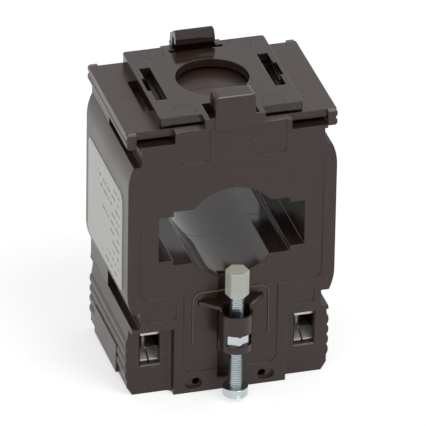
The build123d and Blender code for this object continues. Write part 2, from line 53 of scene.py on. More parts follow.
MM = 0.001
MERGE = 0.001 * MM  # points that are nearer to each other than this are one
SIDES = ("left", "right")
LAMPS = (  # name, place, width and power
    ("key_light", (-0.75, -0.9, 1.1), 0.8, 1.5),
    ("front_light", (0.36, -0.66, 1.3), 0.55, 4.5),
    ("top_light", (0.2, 0.35, 1.3), 1.2, 0.8),
)
SKY_LIGHT = 0.36  # how strongly the world lights the object, where 1 is white
FLOOR_GLOW = 0.60  # what the camera sees added to the floor's own colour


class TransformerSizes(bpy.types.PropertyGroup):
    """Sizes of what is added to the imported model."""

    edge_round: bpy.props.FloatProperty(
        name="Edge rounding", description="Radius that softens the moulded edges",
        default=0.35 * MM, unit="LENGTH")
    clip_round: bpy.props.FloatProperty(
        name="Clip rounding", description="Radius on the edges of the rail clip",
        default=0.4 * MM, unit="LENGTH")
    hook_height: bpy.props.FloatProperty(
        name="Hook height", description="Height of the front hook above the clip's plate",
        default=6.5 * MM, unit="LENGTH")
    hook_half_width: bpy.props.FloatProperty(
        name="Hook half width", description="Half the width of the hooks at the plate",
        default=5.75 * MM, unit="LENGTH")
    rear_flange: bpy.props.FloatProperty(
        name="Rear flange", description="Thickness of the flange that carries the rear hook",
        default=3.4 * MM, unit="LENGTH")
    bracket_round: bpy.props.FloatProperty(
        name="Bracket rounding", description="Radius on the edges of the screw bracket",
        default=0.15 * MM, unit="LENGTH")
    flange_drop: bpy.props.FloatProperty(
        name="Flange drop", description="How far the rear flange lies below the clip's plate",
        default=1.5 * MM, unit="LENGTH")
    frame_width: bpy.props.FloatProperty(
        name="Frame width", description="Width inside the raised frame round the bracket",
        default=20.8 * MM, unit="LENGTH")
    frame_bottom: bpy.props.FloatProperty(
        name="Frame foot", description="Height at which the raised frame's sides start",
        default=15.5 * MM, unit="LENGTH")
    frame_top: bpy.props.FloatProperty(
        name="Frame top", description="Height of the raised frame's upper bar",
        default=31.0 * MM, unit="LENGTH")
    frame_bead: bpy.props.FloatProperty(
        name="Frame bead", description="Width of the raised frame's bead",
        default=0.32 * MM, unit="LENGTH")
    frame_proud: bpy.props.FloatProperty(
        name="Frame height", description="How far the raised frame stands off the front",
        default=0.12 * MM, unit="LENGTH")
    frame_corner: bpy.props.FloatProperty(
        name="Frame corner", description="Radius of the raised frame's upper corners",
        default=2.2 * MM, unit="LENGTH")
    clamp_thread: bpy.props.FloatProperty(
        name="Clamp thread", description="Outside diameter of the bar-locking screw",
        default=3.9 * MM, unit="LENGTH")
    clamp_pitch: bpy.props.FloatProperty(
        name="Clamp pitch", description="Pitch of the bar-locking screw's thread",
        default=0.7 * MM, unit="LENGTH")
    clamp_head_height: bpy.props.FloatProperty(
        name="Clamp head", description="Height of the bar-locking screw's head",
        default=2.6 * MM, unit="LENGTH")
    clamp_slot_width: bpy.props.FloatProperty(
        name="Clamp slot", description="Width of the slot in the bar-locking screw's head",
        default=1.2 * MM, unit="LENGTH")
    clamp_slot_depth: bpy.props.FloatProperty(
        name="Clamp slot depth", description="Depth of the slot in the bar-locking screw's head",
        default=1.3 * MM, unit="LENGTH")
    terminal_thread: bpy.props.FloatProperty(
        name="Terminal thread", description="Outside diameter of the terminal screws",
        default=2.9 * MM, unit="LENGTH")
    terminal_pitch: bpy.props.FloatProperty(
        name="Terminal pitch", description="Pitch of the terminal screws' thread",
        default=0.5 * MM, unit="LENGTH")
    terminal_head_height: bpy.props.FloatProperty(
        name="Terminal head", description="Height of the terminal screws' heads",
        default=2.2 * MM, unit="LENGTH")
    terminal_slot_width: bpy.props.FloatProperty(
        name="Terminal slot", description="Width of the slots in the terminal screws' heads",
        default=0.9 * MM, unit="LENGTH")
    terminal_slot_depth: bpy.props.FloatProperty(
        name="Terminal slot depth", description="Depth of the slots in the terminal screws' heads",
        default=1.1 * MM, unit="LENGTH")
    running_gap: bpy.props.FloatProperty(
        name="Running gap", description="Room between a thread and the hole that it turns in",
        default=0.06 * MM, unit="LENGTH")
    head_round: bpy.props.FloatProperty(
        name="Head rounding", description="Radius on the edges of the screw heads",
        default=0.3 * MM, unit="LENGTH")
    nut_chamfer: bpy.props.FloatProperty(
        name="Nut chamfer", description="Chamfer turned on the nut's corners",
        default=0.5 * MM, unit="LENGTH")
    nut_round: bpy.props.FloatProperty(
        name="Nut rounding", description="Radius on the nut's edges",
        default=0.06 * MM, unit="LENGTH")
    tip_turn: bpy.props.FloatProperty(
        name="Tip turn", description="How far the hexagonal tip is turned about its screw",
        default=radians(-16), unit="ROTATION")
    tip_round: bpy.props.FloatProperty(
        name="Tip rounding", description="Radius on the edges of the nylon tip",
        default=0.3 * MM, unit="LENGTH")
    tip_grip: bpy.props.FloatProperty(
        name="Tip grip", description="Depth of the hole in the nylon tip",
        default=5.46 * MM, unit="LENGTH")
    boss_radius: bpy.props.FloatProperty(
        name="Boss radius", description="Radius of the stamped boss round each terminal screw",
        default=2.45 * MM, unit="LENGTH")
    boss_height: bpy.props.FloatProperty(
        name="Boss height", description="Height of the stamped boss on each saddle",
        default=0.55 * MM, unit="LENGTH")
    sheet_round: bpy.props.FloatProperty(
        name="Sheet edge", description="Rounding of the stamped sheet's edges",
        default=0.12 * MM, unit="LENGTH")


class TransformerColours(bpy.types.PropertyGroup):
    """Colours of the finishes."""

    case: bpy.props.FloatVectorProperty(
        name="Case", description="Dark brown of the moulded case",
        default=(0.035, 0.017, 0.0125), subtype="COLOR", min=0, max=1)
    clip: bpy.props.FloatVectorProperty(
        name="Rail clip", description="Dark brown of the glossier clip",
        default=(0.034, 0.017, 0.0125), subtype="COLOR", min=0, max=1)
    bracket: bpy.props.FloatVectorProperty(
        name="Bracket", description="Dark brown of the screw bracket",
        default=(0.032, 0.016, 0.0115), subtype="COLOR", min=0, max=1)
    scuff: bpy.props.FloatVectorProperty(
        name="Scuff", description="Grey of rubbed plastic",
        default=(0.30, 0.29, 0.28), subtype="COLOR", min=0, max=1)
    nylon: bpy.props.FloatVectorProperty(
        name="Nylon", description="Natural nylon of the tip",
        default=(0.73, 0.76, 0.67), subtype="COLOR", min=0, max=1)
    # painted shade: a darker, yellower tone for the tip's upper face
    nylon_top_shade: bpy.props.FloatVectorProperty(
        name="Nylon end", description="Creamier tone of the tip's upper face",
        default=(0.64, 0.63, 0.50), subtype="COLOR", min=0, max=1)
    zinc: bpy.props.FloatVectorProperty(
        name="Zinc", description="Blue-white zinc plating of the clamp screw and nut",
        default=(0.54, 0.59, 0.61), subtype="COLOR", min=0, max=1)
    nickel: bpy.props.FloatVectorProperty(
        name="Nickel", description="Plated steel of the terminals' bars and screws",
        default=(0.55, 0.53, 0.51), subtype="COLOR", min=0, max=1)
    saddle: bpy.props.FloatVectorProperty(
        name="Saddle", description="Paler, rougher plating of the stamped saddles",
        default=(0.66, 0.64, 0.61), subtype="COLOR", min=0, max=1)
    copper: bpy.props.FloatVectorProperty(
        name="Copper", description="Enamelled winding wire",
        default=(0.62, 0.25, 0.11), subtype="COLOR", min=0, max=1)
    core: bpy.props.FloatVectorProperty(
        name="Core", description="Insulating coat of the ring core",
        default=(0.34, 0.36, 0.37), subtype="COLOR", min=0, max=1)
    film: bpy.props.FloatVectorProperty(
        name="Label", description="White label film",
        default=(0.82, 0.82, 0.78), subtype="COLOR", min=0, max=1)
    ink: bpy.props.FloatVectorProperty(
        name="Ink", description="Grey of the label's plain bars",
        default=(0.24, 0.24, 0.23), subtype="COLOR", min=0, max=1)


class Signal:
    """A shader socket that Python expressions can use, each operator adding a Math node."""

    def __init__(self, shader, socket):
        self.shader = shader
        self.socket = socket

    def math(self, operation, *values):
        return self.shader.signal("ShaderNodeMath", {"operation": operation},
                                  dict(enumerate(values)))

    def __add__(self, other):
        return self.math("ADD", self, other)

    def __radd__(self, other):
        return self.math("ADD", other, self)

    def __sub__(self, other):
        return self.math("SUBTRACT", self, other)

    def __rsub__(self, other):
        return self.math("SUBTRACT", other, self)

    def __mul__(self, other):
        return self.math("MULTIPLY", self, other)

    def __rmul__(self, other):
        return self.math("MULTIPLY", other, self)

    def __truediv__(self, other):
        return self.math("DIVIDE", self, other)

    def __pow__(self, other):
        return self.math("POWER", self, other)

    def __abs__(self):
        return self.math("ABSOLUTE", self)

    def __lt__(self, other):
        return self.math("LESS_THAN", self, other)

    def __gt__(self, other):
        return self.math("GREATER_THAN", self, other)

    def wave(self, width):
        """Rises and falls between 0 and the width."""
        return self.math("PINGPONG", self, width)

    def floor(self):
        return self.math("FLOOR", self)


class Shader:
    """A node tree while it is being wired up."""

    def __init__(self, owner):
        owner.use_nodes = True
        self.owner = owner
        self.tree = owner.node_tree
        self.tree.nodes.clear()

    def node(self, kind, settings=None, inputs=None):
        """Adds a node: its settings are made first, then its sockets are filled or linked."""
        made = self.tree.nodes.new(kind)
        for name, value in (settings or {}).items():
            setattr(made, name, value)
        for name, value in (inputs or {}).items():
            if isinstance(value, Signal):
                self.tree.links.new(value.socket, made.inputs[name])
            else:
                made.inputs[name].default_value = value
        return made

    def signal(self, kind, settings=None, inputs=None, output=0):
        return Signal(self, self.node(kind, settings, inputs).outputs[output])

    def place(self):
        """Object coordinates as a vector."""
        return self.signal("ShaderNodeTexCoord", output="Object")

    def axes(self):
        """Object coordinates as x, y and z."""
        split = self.node("ShaderNodeSeparateXYZ", inputs={"Vector": self.place()})
        return [Signal(self, socket) for socket in split.outputs]

    def noise(self, scale, detail=2.0, roughness=0.5, stretch=(1, 1, 1)):
        """Noise with the given number of grains in a metre, drawn out along the axes."""
        vector = self.signal("ShaderNodeMapping", {"vector_type": "POINT"},
                             {"Vector": self.place(), "Scale": stretch})
        return self.signal("ShaderNodeTexNoise", inputs={
            "Vector": vector, "Scale": scale, "Detail": detail, "Roughness": roughness})

    def between(self, factor, first, second):
        """Mixes two colours."""
        colours = [colour if isinstance(colour, Signal) else (*colour, 1)
                   for colour in (first, second)]
        return self.signal("ShaderNodeMix", {"data_type": "RGBA"},
                           {0: factor, 6: colours[0], 7: colours[1]}, output=2)

    def relief(self, height, strength, distance, edge=None):
        """A Bump node, over edges rounded by a Bevel node if a radius is given."""
        inputs = {"Height": height, "Strength": strength, "Distance": distance}
        if edge is not None:
            inputs["Normal"] = self.signal("ShaderNodeBevel", {"samples": 6}, {"Radius": edge})
        return self.signal("ShaderNodeBump", inputs=inputs)

    def surface(self, **inputs):
        """Ends the tree in a Principled surface whose sockets are given by their names."""
        named = {name.replace("_", " ").title(): value for name, value in inputs.items()}
        if "Ior" in named:
            named["IOR"] = named.pop("Ior")
        shade = self.signal("ShaderNodeBsdfPrincipled", inputs=named)
        self.node("ShaderNodeOutputMaterial", inputs={"Surface": shade})
        return self.owner


def shaded(colour, factor):
    """The same colour, darker or lighter."""
    return tuple(min(1, channel * factor) for channel in colour)


def moulded_plastic(name, colour, scuff, roughness, edge, marks=None):
    """Dark moulded plastic with a fine grain, flow lines, dust in its tone and soft edges."""
    shader = Shader(bpy.data.materials.new(name))
    clouds = shader.noise(70, detail=3)
    grain = shader.noise(2600, detail=2)
    flow = shader.noise(160, detail=4, roughness=0.6, stretch=(1, 0.12, 1))
    dust = (shader.noise(900, detail=3) - 0.62) * 3
    tone = shader.between(clouds, shaded(colour, 0.86), shaded(colour, 1.16))
    tone = shader.between(dust.math("MAXIMUM", dust, 0) * 0.25, tone, scuff)
    height = grain * 0.25 + flow * 0.5
    rough = roughness - 0.05 + clouds * 0.10 + grain * 0.04
    if marks:
        tone, height, rough = marks(shader, tone, height, rough)
    return shader.surface(base_color=tone, roughness=rough, ior=1.5,
                          normal=shader.relief(height, 0.5, 0.05 * MM, edge))


def case_marks(colour, scuff):
    """Seam between the shells, the polished window and the rough lips at the top plate."""
    low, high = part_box("front_shell")
    ring_low, ring_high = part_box("secondary_winding")
    window_z = (ring_low.z + ring_high.z) / 2
    window_half = Vector((20.6, 21.0, 14.1)) * MM
    seam_half_width = 0.06 * MM
    lip_bottom = high.z - 0.4 * MM
    lip_inside = -low.y - 2.25 * MM
    tooth = 0.2 * MM

    def marks(shader, tone, height, rough):
        x, y, z = shader.axes()
        seam = (abs(y) < seam_half_width) * 1.0
        tone = shader.between(seam * 0.8, tone, shaded(colour, 0.3))
        on_lip = (z > lip_bottom) * (abs(y) > lip_inside)
        teeth = x.wave(tooth) / tooth
        worn = shader.noise(1200, detail=4, stretch=(1.4, 0.3, 1))
        tone = shader.between(on_lip * (0.4 + worn) * (0.3 + teeth * 0.7), tone, scuff)
        in_window = (abs(x) < window_half.x) * (abs(y) < window_half.y)
        in_window = in_window * (abs(z - window_z) < window_half.z)
        height = height * (1 - in_window * 0.8) - seam * 1.5 + on_lip * teeth * 1.6
        return tone, height, rough * (1 - in_window * 0.65) + on_lip * 0.12

    return marks


def clip_marks(plate_z):
    """Round ejector marks near the clip's corners with painted shade along their rims, and lines
    where the plastic met and flowed.
    """
    mark_x, mark_y, mark_radius = 12.2 * MM, 16.2 * MM, 3.05 * MM
    rim_half_width = 0.09 * MM
    joint_half_width = 0.05 * MM
    plate_reach = 0.1 * MM

    def marks(shader, tone, height, rough):
        x, y, z = shader.axes()
        on_plate = abs(z - plate_z) < plate_reach
        away = ((abs(x) - mark_x) ** 2 + (abs(y) - mark_y) ** 2) ** 0.5
        sunk = (away < mark_radius) * on_plate
        rim_and_shade = (abs(away - mark_radius) < rim_half_width) * on_plate
        rim_and_shade = rim_and_shade * (shader.noise(260, detail=1) > 0.45) * 0.8
        # painted shade: the rims' fine grooves are darkened towards black
        tone = shader.between(rim_and_shade * 0.6, tone, (0, 0, 0))
        drag = shader.noise(500, detail=2, stretch=(1, 0.02, 1))
        met = (abs(y) < joint_half_width) * 1.0
        return tone, height - sunk * 2 - rim_and_shade * 2 + drag * 0.3 - met * 0.6, rough + rim_and_shade * 0.7

    return marks


def plated_metal(name, colour, roughness, lines):
    """Bright plating with cloudy tone, handling marks and fine turning lines along Z."""
    shader = Shader(bpy.data.materials.new(name))
    clouds = shader.noise(240, detail=3)
    specks = shader.noise(3000, detail=3)
    turned = shader.noise(lines, detail=2, stretch=(0.02, 0.02, 1))
    tone = shader.between(clouds, shaded(colour, 0.82), shaded(colour, 1.12))
    return shader.surface(base_color=tone, metallic=1.0,
                          roughness=roughness - 0.06 + clouds * 0.08 + specks * 0.06,
                          normal=shader.relief(specks * 0.4 + turned * 0.6, 0.2, 0.01 * MM))


def natural_nylon(name, colour, top_shade_colour):
    """Cloudy nylon that lets some light in, with painted shade that makes its upper end darker and
    yellower.
    """
    end_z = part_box("clamp_tip")[1].z - 0.06 * MM
    shader = Shader(bpy.data.materials.new(name))
    z = shader.axes()[2]
    clouds = shader.noise(420, detail=3)
    grain = shader.noise(2200, detail=2)
    tone = shader.between(clouds, shaded(colour, 0.9), shaded(colour, 1.08))
    # painted shade: the upper end is mixed towards the darker, yellower tone
    tone = shader.between((z > end_z) * (0.6 + clouds * 0.5), tone, top_shade_colour)
    return shader.surface(base_color=tone, roughness=0.38 + grain * 0.12,
                          subsurface_weight=0.3, subsurface_radius=(1.0, 0.9, 0.7),
                          subsurface_scale=0.6 * MM,
                          normal=shader.relief(grain + clouds, 0.25, 0.04 * MM))


def wound_copper(name, colour):
    """Enamelled wire laid in turns round the ring, with painted shade between the turns."""
    low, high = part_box("secondary_winding")
    wire_width = 0.8 * MM
    middle = (low.z + high.z) / 2
    radius = (high.z - low.z) / 2
    shader = Shader(bpy.data.materials.new(name))
    x, _, z = shader.axes()
    turn = x.math("ARCTAN2", x, z - middle) * radius
    ridge_and_shade = turn.wave(wire_width / 2) / (wire_width / 2)
    clouds = shader.noise(300, detail=3)
    # painted shade: the tone falls to a third of the copper's colour in the grooves between the
    # wire turns
    tone = shader.between(ridge_and_shade * 0.7 + clouds * 0.3, shaded(colour, 0.35), colour)
    return shader.surface(base_color=tone, roughness=0.24 + clouds * 0.1, metallic=0.85,
                          normal=shader.relief(ridge_and_shade ** 0.5, 0.8, 0.2 * MM))


def coated_core(name, colour):
    """Thick insulating coat with a slight orange peel."""
    shader = Shader(bpy.data.materials.new(name))
    peel = shader.noise(900, detail=2)
    clouds = shader.noise(120, detail=3)
    tone = shader.between(clouds, shaded(colour, 0.85), shaded(colour, 1.1))
    return shader.surface(base_color=tone, roughness=0.3 + clouds * 0.12,
                          normal=shader.relief(peel, 0.4, 0.06 * MM))


def label_film(name, film, ink):
    """White film printed with rows of plain bars inside a thin frame."""
    low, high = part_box("rating_label")
    middle = (low + high) / 2
    half_width = (high.y - low.y) / 2
    half_height = (high.z - low.z) / 2
    row, bar_half_height = 2.7 * MM, 0.42 * MM
    side_margin, end_margin = 2.6 * MM, 2.2 * MM
    rule_inset, rule_half_width, rule_end = 1.3 * MM, 0.1 * MM, 1.2 * MM
    shader = Shader(bpy.data.materials.new(name))
    _, y, z = shader.axes()
    along = y - middle.y
    up = z - middle.z
    number = (up / row).floor()
    inside = (up / row - number) * row
    chance = shader.signal("ShaderNodeTexWhiteNoise", {"noise_dimensions": "1D"}, {"W": number})
    reach = half_width * (chance * 1.2 - 0.5)
    words = shader.signal("ShaderNodeTexNoise", {"noise_dimensions": "2D"}, {
        "Vector": shader.signal("ShaderNodeCombineXYZ", inputs={0: number * 7.3, 1: along * 480}),
        "Scale": 1.0, "Detail": 0.0})
    bars = (abs(inside - row / 2) < bar_half_height) * (along < reach) * (words > 0.46)
    within = abs(along) < half_width - side_margin
    within = within * (abs(up) < half_height - end_margin)
    side_rule = abs(abs(along) - half_width + rule_inset) < rule_half_width
    end_rule = abs(abs(up) - half_height + rule_inset) < rule_half_width
    framed = side_rule * (abs(up) < half_height - rule_end)
    framed = framed + end_rule * (abs(along) < half_width - rule_end)
    printed = bars * within * 0.8 + framed * 0.4
    print_mask = printed.math("MINIMUM", printed, 1.0)
    fibres = shader.noise(1800, detail=2)
    clouds = shader.noise(60, detail=3)
    tone = shader.between(clouds, shaded(film, 0.94), shaded(film, 1.04))
    tone = shader.between(print_mask, tone, ink)
    return shader.surface(base_color=tone, roughness=0.38 + fibres * 0.1,
                          normal=shader.relief(fibres * 0.5 + clouds * 2, 0.2, 0.05 * MM))


def pick(piece):
    """Makes one piece the only selected one, and the active one."""
    bpy.ops.object.select_all(action="DESELECT")
    piece.select_set(True)
    bpy.context.view_layer.objects.active = piece


def start(name, primitive, **options):
    """Adds a primitive and puts its place into its mesh."""
    bpy.ops.object.select_all(action="DESELECT")
    primitive(**options)
    piece = bpy.context.active_object
    piece.name = name
    bpy.ops.object.transform_apply(location=True, rotation=True, scale=True)
    return piece


def shape(piece, kind, **settings):
    """Gives a piece a modifier and applies it."""
    pick(piece)
    modifier = piece.modifiers.new(kind.title(), kind)
    for name, value in settings.items():
        setattr(modifier, name, value)
    bpy.ops.object.modifier_apply(modifier=modifier.name)


def cut(piece, tool, operation="DIFFERENCE"):
    """Cuts a piece with a tool, which is then removed."""
    shape(piece, "BOOLEAN", object=tool, operation=operation, solver="EXACT")
    bpy.data.objects.remove(tool)


def soften(piece, width, segments=3):
    """Rounds the sharp edges of a piece."""
    shape(piece, "BEVEL", width=width, segments=segments, limit_method="ANGLE",
          angle_limit=radians(35))


def disc(name, centre, bottom, top, radius, vertices=64, turn=0.0):
    """An upright cylinder between two heights."""
    return start(name, bpy.ops.mesh.primitive_cylinder_add, vertices=vertices, radius=radius,
                 depth=top - bottom, location=(*centre, (bottom + top) / 2),
                 rotation=(0, 0, turn))


def block(name, low, high):
    """A box between two corners."""
    low, high = Vector(low), Vector(high)
    return start(name, bpy.ops.mesh.primitive_cube_add, size=1, location=(low + high) / 2,
                 scale=high - low)


def packed_copy(name, node):
    """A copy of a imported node, its loose triangles merged into flat faces."""
    piece = bpy.data.objects.new(name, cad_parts[node].data.copy())
    bpy.context.scene.collection.objects.link(piece)
    pick(piece)
    bpy.ops.object.mode_set(mode="EDIT")
    bpy.ops.mesh.select_all(action="SELECT")
    bpy.ops.mesh.remove_doubles(threshold=MERGE)
    bpy.ops.mesh.dissolve_limited(angle_limit=radians(1))
    bpy.ops.object.mode_set(mode="OBJECT")
    return piece


def placed(name, mesh, shift):
    """A piece from the copy of another piece's mesh, moved to its place."""
    piece = bpy.data.objects.new(name, mesh)
    bpy.context.scene.collection.objects.link(piece)
    pick(piece)
    bpy.ops.transform.translate(value=shift)
    bpy.ops.object.transform_apply(location=True, rotation=True, scale=True)
    return piece


def join(piece, *others):
    """Joins the others into the piece."""
    pick(piece)
    for other in others:
        other.select_set(True)
    bpy.ops.object.join()


def threaded_rod(name, centre, bottom, top, radius, pitch):
    """A rod with a right-hand thread, cut square at both ends."""
    root = radius - 0.6 * pitch
    profile = [(root, 0.14), (radius, 0.44), (radius, 0.56), (root, 0.86), (root, 1.0)]
    bpy.ops.object.select_all(action="DESELECT")
    bpy.ops.mesh.primitive_plane_add(size=pitch, location=(*centre, bottom - pitch))
    rod = bpy.context.active_object
    rod.name = name
    bpy.ops.object.mode_set(mode="EDIT")
    bpy.ops.mesh.merge(type="CENTER")
    bpy.ops.transform.translate(value=(root, 0, 0))
    last = Vector((root, 0, 0))
    for away, share in profile:
        point = Vector((away, 0, share * pitch))
        bpy.ops.mesh.extrude_vertices_move(TRANSFORM_OT_translate={"value": point - last})
        last = point
    bpy.ops.object.mode_set(mode="OBJECT")
    turns = ceil((top - bottom) / pitch) + 2
    shape(rod, "SCREW", axis="Z", angle=tau, screw_offset=pitch, iterations=turns, steps=28,
          render_steps=28)
    pick(rod)
    bpy.ops.object.transform_apply(location=True, rotation=True, scale=True)
    bpy.ops.object.mode_set(mode="EDIT")
    bpy.ops.mesh.select_all(action="SELECT")
    bpy.ops.mesh.remove_doubles(threshold=MERGE)
    bpy.ops.mesh.bisect(plane_co=(*centre, bottom), plane_no=(0, 0, 1), use_fill=True,
                        clear_inner=True, threshold=MERGE)
    bpy.ops.mesh.select_all(action="SELECT")
    bpy.ops.mesh.bisect(plane_co=(*centre, top), plane_no=(0, 0, 1), use_fill=True,
                        clear_outer=True, threshold=MERGE)
    bpy.ops.mesh.select_all(action="SELECT")
    bpy.ops.mesh.normals_make_consistent(inside=False)
    bpy.ops.object.mode_set(mode="OBJECT")
    return rod


def slotted_screw(name, node, thread, pitch, head_height, slot_width, slot_depth, rounding):
    """A screw that stands on its slotted cheese head, in place of a packed one."""
    low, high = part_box(node)
    centre = ((low.x + high.x) / 2, (low.y + high.y) / 2)
    head_top = low.z + head_height
    head = disc(name + "_head", centre, low.z, head_top, (high.x - low.x) / 2)
    soften(head, rounding)
    cut(head, block("slot", (centre[0] - slot_width / 2, low.y - MM, low.z - MM),
                    (centre[0] + slot_width / 2, high.y + MM, low.z + slot_depth)))
    sunk = 0.3 * MM
    screw = threaded_rod(name, centre, head_top - sunk, high.z, thread / 2, pitch)
    join(screw, head)
    return screw


def smooth(piece, angle=30):
    """Shades a piece smooth up to an angle between its faces, its large faces kept flat."""
    pick(piece)
    bpy.ops.object.shade_smooth_by_angle(angle=radians(angle))
    shape(piece, "WEIGHTED_NORMAL", weight=100, keep_sharp=True)


def dress(piece, body, material, node):
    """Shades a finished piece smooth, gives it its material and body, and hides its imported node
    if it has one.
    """
    smooth(piece)
    piece.data.materials.clear()
    piece.data.materials.append(material)
    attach(piece, body)
    if node:
        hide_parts(node)


def paint(material, *nodes):
    """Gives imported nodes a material."""
    for name in nodes:
        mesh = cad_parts[name].data
        mesh.materials.clear()
        mesh.materials.append(material)


class TransformerOperator:
    """What the operators share."""

    bl_options = {"REGISTER", "UNDO"}


class TRANSFORMER_OT_stage(TransformerOperator, bpy.types.Operator):
    """Sets the floor, the light and the camera"""

    bl_idname = "transformer.stage"
    bl_label = "Stage"

    def execute(self, context):
        floor = start("floor", bpy.ops.mesh.primitive_plane_add, size=8)
        shader = Shader(bpy.data.materials.new("pale_floor"))
        rays = shader.node("ShaderNodeLightPath").outputs
        seen = Signal(shader, rays["Is Camera Ray"])
        seen = seen.math("MAXIMUM", seen, Signal(shader, rays["Is Glossy Ray"]))
        mottle = shader.noise(4, detail=2)
        paint_tone = shader.between(mottle, (0.80, 0.80, 0.80), (0.84, 0.84, 0.84))
        matt = shader.signal("ShaderNodeBsdfDiffuse", inputs={"Color": paint_tone})
        glow = shader.signal("ShaderNodeEmission", inputs={
            "Color": (1, 1, 1, 1), "Strength": seen * FLOOR_GLOW})
        both = shader.signal("ShaderNodeAddShader", inputs={0: matt, 1: glow})
        shader.node("ShaderNodeOutputMaterial", inputs={"Surface": both})
        floor.data.materials.append(shader.owner)

        world = bpy.data.worlds.new("studio")
        context.scene.world = world
        shader = Shader(world)
        rays = shader.node("ShaderNodeLightPath").outputs
        seen = Signal(shader, rays["Is Camera Ray"])
        for ray in ("Is Glossy Ray", "Is Transmission Ray"):
            seen = seen.math("MAXIMUM", seen, Signal(shader, rays[ray]))
        sky = shader.signal("ShaderNodeBackground", inputs={
            "Color": (1, 1, 1, 1), "Strength": SKY_LIGHT + seen * (1 - SKY_LIGHT)})
        shader.node("ShaderNodeOutputWorld", inputs={"Surface": sky})

        for lamp in LAMPS:
            self.lamp(*lamp)
        self.camera(context)
        return {"FINISHED"}

    def lamp(self, name, place, size, power):
        """A square soft light that faces the object."""
        bpy.ops.object.light_add(type="AREA", location=place)
        light = bpy.context.active_object
        light.name = name
        light.data.shape = "SQUARE"
        light.data.size = size
        light.data.energy = power
        aim = Vector((0, 0, 0.045)) - Vector(place)
        light.rotation_euler = aim.to_track_quat("-Z", "Y").to_euler()

    def camera(self, context):
        """The photograph's viewpoint, from its azimuth, elevation, roll and distance."""
        azimuth, elevation, roll = radians(-16.37), radians(29.996), radians(0.977)
        distance = 1.9122
        target = Vector((-5.441, -21.4, 55.193)) * MM
        back = Vector((sin(azimuth) * cos(elevation), -cos(azimuth) * cos(elevation),
                       sin(elevation)))
        level = Vector((cos(azimuth), sin(azimuth), 0))
        rise = back.cross(level)
        right = cos(roll) * level + sin(roll) * rise
        up = cos(roll) * rise - sin(roll) * level
        bpy.ops.object.camera_add()
        camera = context.active_object
        camera.name = "camera"
        turn = Matrix((right, up, back)).transposed().to_4x4()
        camera.matrix_world = Matrix.Translation(target + back * distance) @ turn
        camera.data.sensor_width = 36
        camera.data.lens = 606.9
        camera.data.clip_start = 0.1
        camera.data.clip_end = 20
        context.scene.camera = camera
        context.scene.view_settings.view_transform = "Standard"


class TRANSFORMER_OT_case(TransformerOperator, bpy.types.Operator):
    """Finishes the moulded case and models the screw bracket with rounded edges"""

    bl_idname = "transformer.case"
    bl_label = "Case and bracket"

    def execute(self, context):
        colours = context.scene.transformer_colours
        edge = context.scene.transformer_sizes.edge_round
        paint(moulded_plastic("case_plastic", colours.case, colours.scuff, 0.30, edge,
                              case_marks(colours.case, colours.scuff)),
              "front_shell", "rear_shell")
        bracket = packed_copy("screw_bracket", "clamp_bracket")
        soften(bracket, context.scene.transformer_sizes.bracket_round, segments=2)
        plastic = moulded_plastic("bracket_plastic", colours.bracket, colours.scuff, 0.27, edge)
        dress(bracket, "case", plastic, "clamp_bracket")
        return {"FINISHED"}


class TRANSFORMER_OT_clip(TransformerOperator, bpy.types.Operator):
    """Models the glossy rail clip with rounded edges and its low rear flange"""

    bl_idname = "transformer.clip"
    bl_label = "Rail clip"

    def execute(self, context):
        sizes = context.scene.transformer_sizes
        colours = context.scene.transformer_colours
        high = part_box("rail_clip")[1]
        plate_z = high.z - sizes.hook_height
        flange_y = high.y - sizes.rear_flange
        flange_z = plate_z - sizes.flange_drop
        clip = packed_copy("hooked_clip", "rail_clip")
        for side in (-1, 1):
            ends = sorted((side * sizes.hook_half_width, side * high.x))
            cut(clip, block("trim", (ends[0], flange_y, flange_z),
                            (ends[1], high.y + MM, plate_z + MM)))
        soften(clip, sizes.clip_round, segments=2)
        plastic = moulded_plastic("clip_plastic", colours.clip, colours.scuff, 0.09,
                                  sizes.clip_round, clip_marks(plate_z))
        dress(clip, "case", plastic, "rail_clip")
        return {"FINISHED"}


class TRANSFORMER_OT_front_frame(TransformerOperator, bpy.types.Operator):
    """Models the raised bead that frames the screw bracket on the front face"""

    bl_idname = "transformer.front_frame"
    bl_label = "Front frame"

    def execute(self, context):
        sizes = context.scene.transformer_sizes
        outside = sizes.frame_width / 2 + sizes.frame_bead
        bead = self.arch("front_frame", sizes, outside, sizes.frame_top,
                         sizes.frame_corner + sizes.frame_bead)
        cut(bead, self.arch("opening", sizes, sizes.frame_width / 2,
                            sizes.frame_top - sizes.frame_bead, sizes.frame_corner,
                            overrun=MM))
        soften(bead, sizes.frame_proud * 0.45, segments=2)
        dress(bead, "case", bpy.data.materials["case_plastic"], None)
        return {"FINISHED"}

    def arch(self, name, sizes, half_width, top, corner, overrun=0.0):
        """A block on the front face with its two upper corners rounded."""
        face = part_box("front_shell")[0].y
        sunk, near = 0.4 * MM, 0.01 * MM
        piece = block(name, (-half_width, face - sizes.frame_proud - overrun,
                             sizes.frame_bottom - overrun),
                      (half_width, face + sunk + overrun, top))
        bpy.ops.object.mode_set(mode="EDIT")
        bpy.ops.mesh.select_mode(type="EDGE")
        bpy.ops.mesh.select_all(action="DESELECT")
        bpy.ops.object.mode_set(mode="OBJECT")
        for edge in piece.data.edges:
            ends = [piece.data.vertices[index].co for index in edge.vertices]
            upper = min(end.z for end in ends) > top - near
            edge.select = upper and abs(ends[0].y - ends[1].y) > near
        bpy.ops.object.mode_set(mode="EDIT")
        bpy.ops.mesh.bevel(offset=corner, segments=10)
        bpy.ops.mesh.select_mode(type="VERT")
        bpy.ops.object.mode_set(mode="OBJECT")
        return piece


